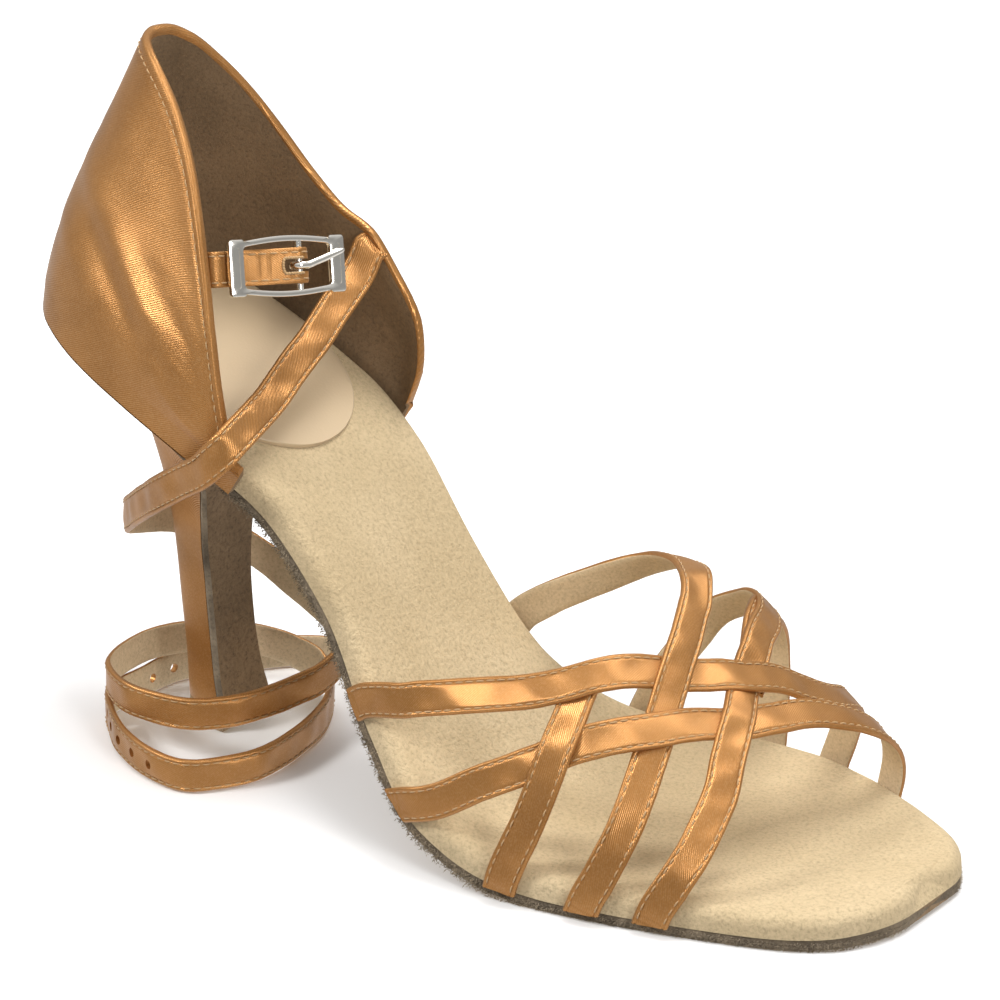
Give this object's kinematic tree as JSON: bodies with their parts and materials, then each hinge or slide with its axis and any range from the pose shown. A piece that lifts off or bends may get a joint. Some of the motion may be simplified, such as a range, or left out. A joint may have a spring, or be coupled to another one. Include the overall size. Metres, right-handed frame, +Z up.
{
  "type": "ballroom dance shoe",
  "caption": "Right open-toe ballroom dance sandal with a slim high heel, closed satin heel counter, woven strap vamp and a long ankle strap with an unfastened buckle.",
  "frame": {"origin": "centre of the heel tip's underside, on the floor", "axes": "+X to the toe, +Y to the inner (medial) side of the right foot, +Z up"},
  "size_m": [0.2032, 0.0845, 0.1459],
  "materials": {
    "satin": "tan bronze satin with a fine twill, sheen along its highlights",
    "sole_suede": "grey brown chrome suede, napped",
    "insole_suede": "sand suede, soft nap",
    "sock_leather": "smooth beige leather",
    "silver": "polished silver"
  },
  "bodies": {
    "root": {"outsole": "sole_suede", "insole": "insole_suede", "heel_sock": "sock_leather", "heel": "satin", "heel_tip": "sole_suede", "counter": "satin", "vamp_straps": "satin", "ankle_strap": "satin", "buckle_strap": "satin"},
    "buckle_frame": {"buckle_frame": "silver"},
    "buckle_prong": {"buckle_prong": "silver"}
  },
  "joints": [
    {"name": "frame_swing", "type": "hinge", "parent": "root", "child": "buckle_frame", "pos_m": [0.0273, -0.0058, 0.1065], "axis": [-0.2601, 0.2502, 0.9326], "range_deg": [0, 80]},
    {"name": "prong_swing", "type": "hinge", "parent": "buckle_frame", "child": "buckle_prong", "pos_m": [0.0273, -0.0058, 0.1065], "axis": [0.2601, -0.2502, -0.9326], "range_deg": [0, 110]}
  ]
}
